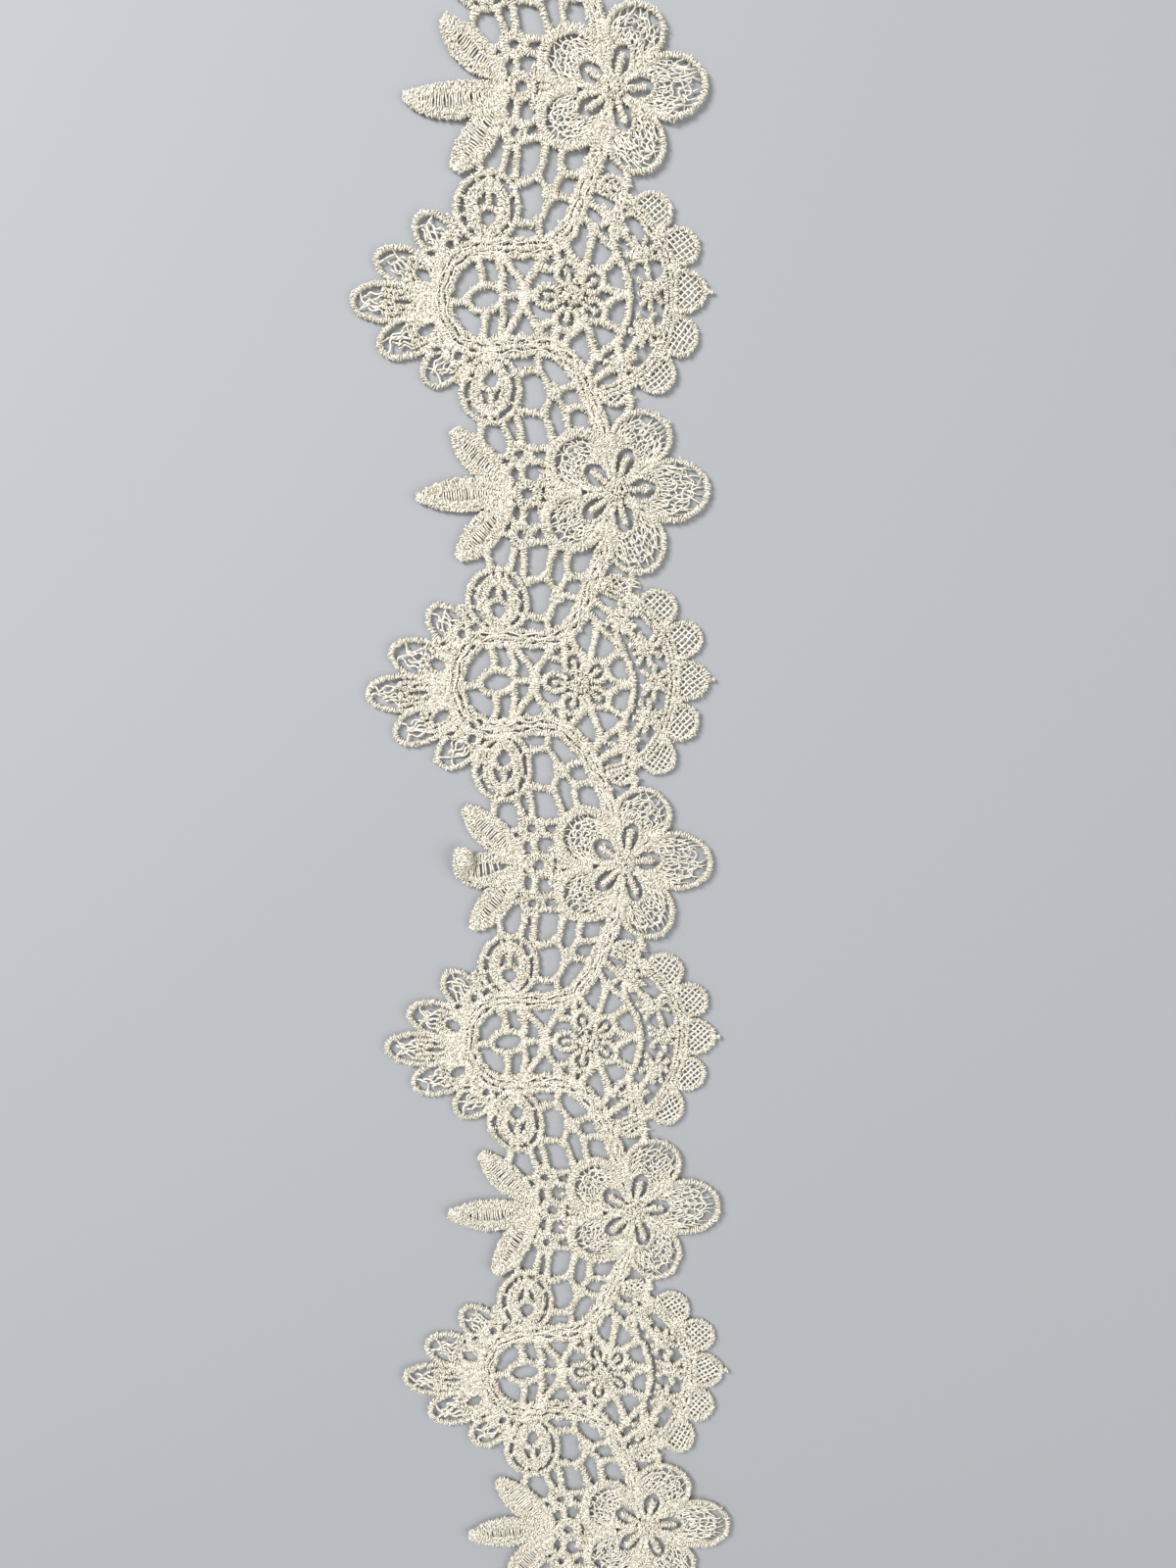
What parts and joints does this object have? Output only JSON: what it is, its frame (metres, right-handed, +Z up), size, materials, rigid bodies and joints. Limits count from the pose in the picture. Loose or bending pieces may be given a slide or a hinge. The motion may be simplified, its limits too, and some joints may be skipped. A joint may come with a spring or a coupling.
{
  "type": "guipure lace trim",
  "caption": "Flat length of cream guipure lace trim with flowers, leaves, fans and scalloped arches tied together by bars, for edging clothes and linens.",
  "frame": {"origin": "middle of the trim's bounding box, on the surface that it lies on", "axes": "+X across the trim towards the scallops, +Y along it, +Z up out of the lace's right side"},
  "size_m": [0.0656, 0.3306, 0.003],
  "materials": {
    "thread": "cream embroidery thread with a soft sheen"
  },
  "bodies": {
    "root": {"lace_trim": "thread"}
  },
  "joints": []
}
